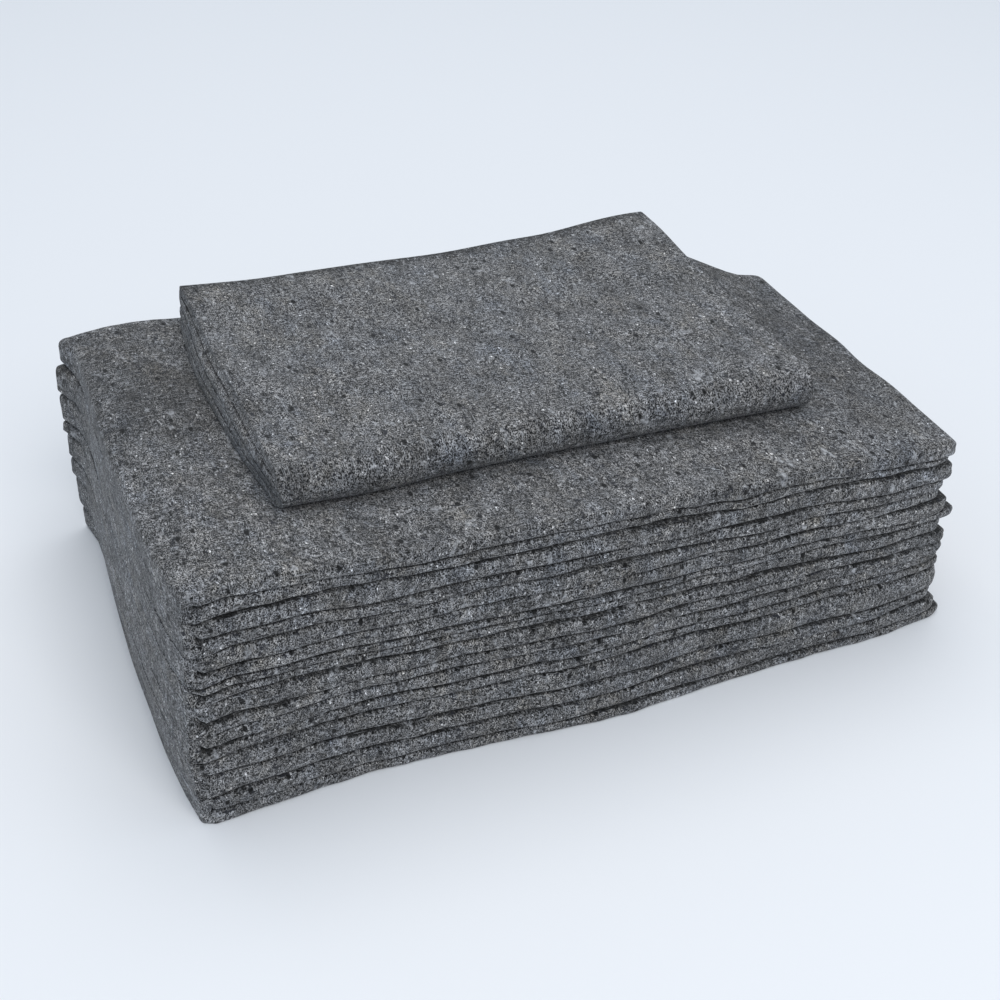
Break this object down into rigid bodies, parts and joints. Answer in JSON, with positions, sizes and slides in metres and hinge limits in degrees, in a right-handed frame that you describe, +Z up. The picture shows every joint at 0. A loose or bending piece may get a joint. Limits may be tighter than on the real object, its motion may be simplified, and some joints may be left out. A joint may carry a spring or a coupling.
{
  "type": "stack of moving blankets",
  "caption": "Stack of thick felt moving blankets folded into layers with soft round folds, topped by a smaller folded blanket",
  "frame": {"origin": "middle of the stack's bounding box, on the floor plane", "axes": "+X along the long side towards the cut ends, +Y towards the back, +Z up; the round folds face -Y"},
  "size_m": [0.7176, 0.4727, 0.2582],
  "materials": {
    "felt_1": "mottled grey stitch-bonded felt",
    "felt_2": "mottled grey stitch-bonded felt",
    "felt_3": "mottled grey stitch-bonded felt",
    "felt_4": "mottled grey stitch-bonded felt",
    "felt_5": "mottled grey stitch-bonded felt",
    "felt_6": "mottled grey stitch-bonded felt",
    "felt_7": "mottled grey stitch-bonded felt",
    "felt_8": "mottled grey stitch-bonded felt",
    "felt_top": "mottled grey stitch-bonded felt"
  },
  "bodies": {
    "root": {"blanket_1": "felt_1", "blanket_2": "felt_2", "blanket_3": "felt_3", "blanket_4": "felt_4", "blanket_5": "felt_5", "blanket_6": "felt_6", "blanket_7": "felt_7", "blanket_8": "felt_8", "blanket_top": "felt_top"}
  },
  "joints": []
}
